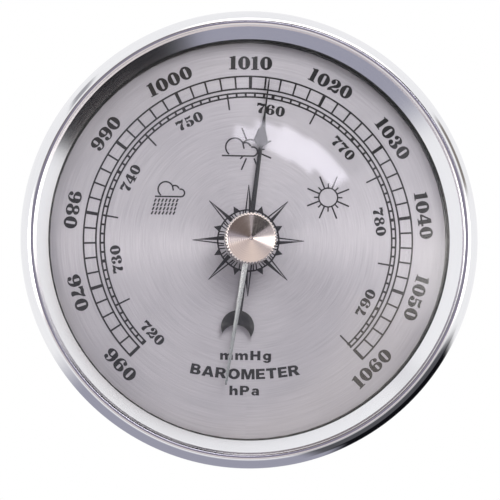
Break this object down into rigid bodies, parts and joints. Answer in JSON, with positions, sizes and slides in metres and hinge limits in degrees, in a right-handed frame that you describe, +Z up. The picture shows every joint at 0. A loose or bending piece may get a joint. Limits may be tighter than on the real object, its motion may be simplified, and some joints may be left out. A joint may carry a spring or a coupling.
{
  "type": "aneroid barometer",
  "caption": "Round wall aneroid barometer: polished bezel, domed glass, silvered dial, black pressure hand, set hand with knob, and a brass capsule movement.",
  "frame": {"origin": "centre of the rear cover's flat outside, where the case meets the wall", "axes": "-Y is the way the dial faces, +Y points into the wall, +Z is up the dial and +X is to the reader's right"},
  "size_m": [0.132, 0.0446, 0.132],
  "materials": {
    "bezel_metal": "polished bead, brushed funnel",
    "case_metal": "satin",
    "glass": "clear, polished",
    "gasket_rubber": "matt",
    "white_nylon": "matt",
    "silvered_dial": "brushed, printed in black",
    "black_hand": "satin black lacquer",
    "silver_hand": "satin",
    "knob_metal": "diamond turned face, serrated edge",
    "brass": "satin",
    "bright_steel": "turned, bright",
    "spring_steel": "blued"
  },
  "bodies": {
    "case": {"bezel": "bezel_metal", "glass": "glass", "glass_bush": "white_nylon", "glass_gasket": "gasket_rubber", "dial_spacer_ring": "gasket_rubber", "dial_plate": "silvered_dial", "case_shell": "case_metal", "rear_cover": "case_metal", "rear_cover_screw_1": "bright_steel", "rear_cover_screw_2": "bright_steel", "rear_cover_screw_3": "bright_steel", "rear_cover_screw_4": "bright_steel", "dial_support_ring": "case_metal", "cover_lug_1": "case_metal", "cover_lug_2": "case_metal", "cover_lug_3": "case_metal", "cover_lug_4": "case_metal", "base_plate": "brass", "top_plate": "brass", "bridge_plate": "brass", "rocker_bracket": "brass", "rocker_bracket_screw": "bright_steel", "capsule": "brass", "capsule_leaf": "spring_steel", "capsule_base_stud": "brass", "hairspring": "spring_steel", "hairspring_stud": "brass", "pillar_1": "brass", "pillar_2": "brass", "pillar_3": "brass", "top_plate_screw_1": "bright_steel", "top_plate_screw_2": "bright_steel", "top_plate_screw_3": "bright_steel", "movement_screw_1": "bright_steel", "movement_screw_2": "bright_steel", "movement_screw_3": "bright_steel", "bridge_post_1": "brass", "bridge_post_2": "brass", "bridge_screw_1": "bright_steel", "bridge_screw_2": "bright_steel", "leaf_screw_1": "bright_steel", "leaf_screw_2": "bright_steel"},
    "pressure_hand": {"pressure_hand": "black_hand", "pressure_hand_hub": "black_hand", "hairspring_collet": "brass", "pinion_arbor": "spring_steel"},
    "sector": {"sector_gear": "brass", "sector_arbor": "spring_steel"},
    "rocker": {"rocking_shaft": "spring_steel", "rocker_arm": "brass"},
    "capsule_front": {"capsule_post": "brass"},
    "set_hand": {"set_hand": "silver_hand", "set_hand_hub": "brass", "set_hand_nut": "brass", "knob": "knob_metal", "knob_spindle": "bright_steel", "spring_washer": "spring_steel"},
    "adjuster": {"adjusting_screw": "bright_steel"}
  },
  "joints": [
    {"name": "pressure_hand_turn", "type": "hinge", "parent": "case", "child": "pressure_hand", "pos_m": [0, -0.03, 0], "axis": [0, 1, 0], "range_deg": [-141.5, 128.5], "stiffness_Nm_per_rad": 0.000625, "deforming": ["hairspring"]},
    {"name": "sector_swing", "type": "hinge", "parent": "case", "child": "sector", "pos_m": [-0.02187, -0.0225, 0.0024], "axis": [0, 1, 0], "range_deg": [-12.86, 14.16]},
    {"name": "rocker_swing", "type": "hinge", "parent": "case", "child": "rocker", "pos_m": [0, -0.013, 0.0024], "axis": [1, 0, 0], "range_deg": [-17.88, 16.24]},
    {"name": "capsule_breathe", "type": "slide", "parent": "case", "child": "capsule_front", "axis": [0, 1, 0], "range_m": [-0.00075, 0.00068], "deforming": ["capsule"]},
    {"name": "set_hand_turn", "type": "hinge", "parent": "case", "child": "set_hand", "pos_m": [0, -0.033, 0], "axis": [0, 1, 0], "continuous": true},
    {"name": "adjusting_screw_turn", "type": "hinge", "parent": "case", "child": "adjuster", "pos_m": [0.024, -0.003, 0], "axis": [0, 1, 0], "range_deg": [-360, 360]}
  ],
  "couplings": [
    {"joint": "sector_swing", "follows": "pressure_hand_turn", "ratio": -0.1},
    {"joint": "rocker_swing", "follows": "pressure_hand_turn", "ratio": 0.12632},
    {"joint": "capsule_breathe", "follows": "pressure_hand_turn", "m_per_rad": 0.00030316}
  ]
}
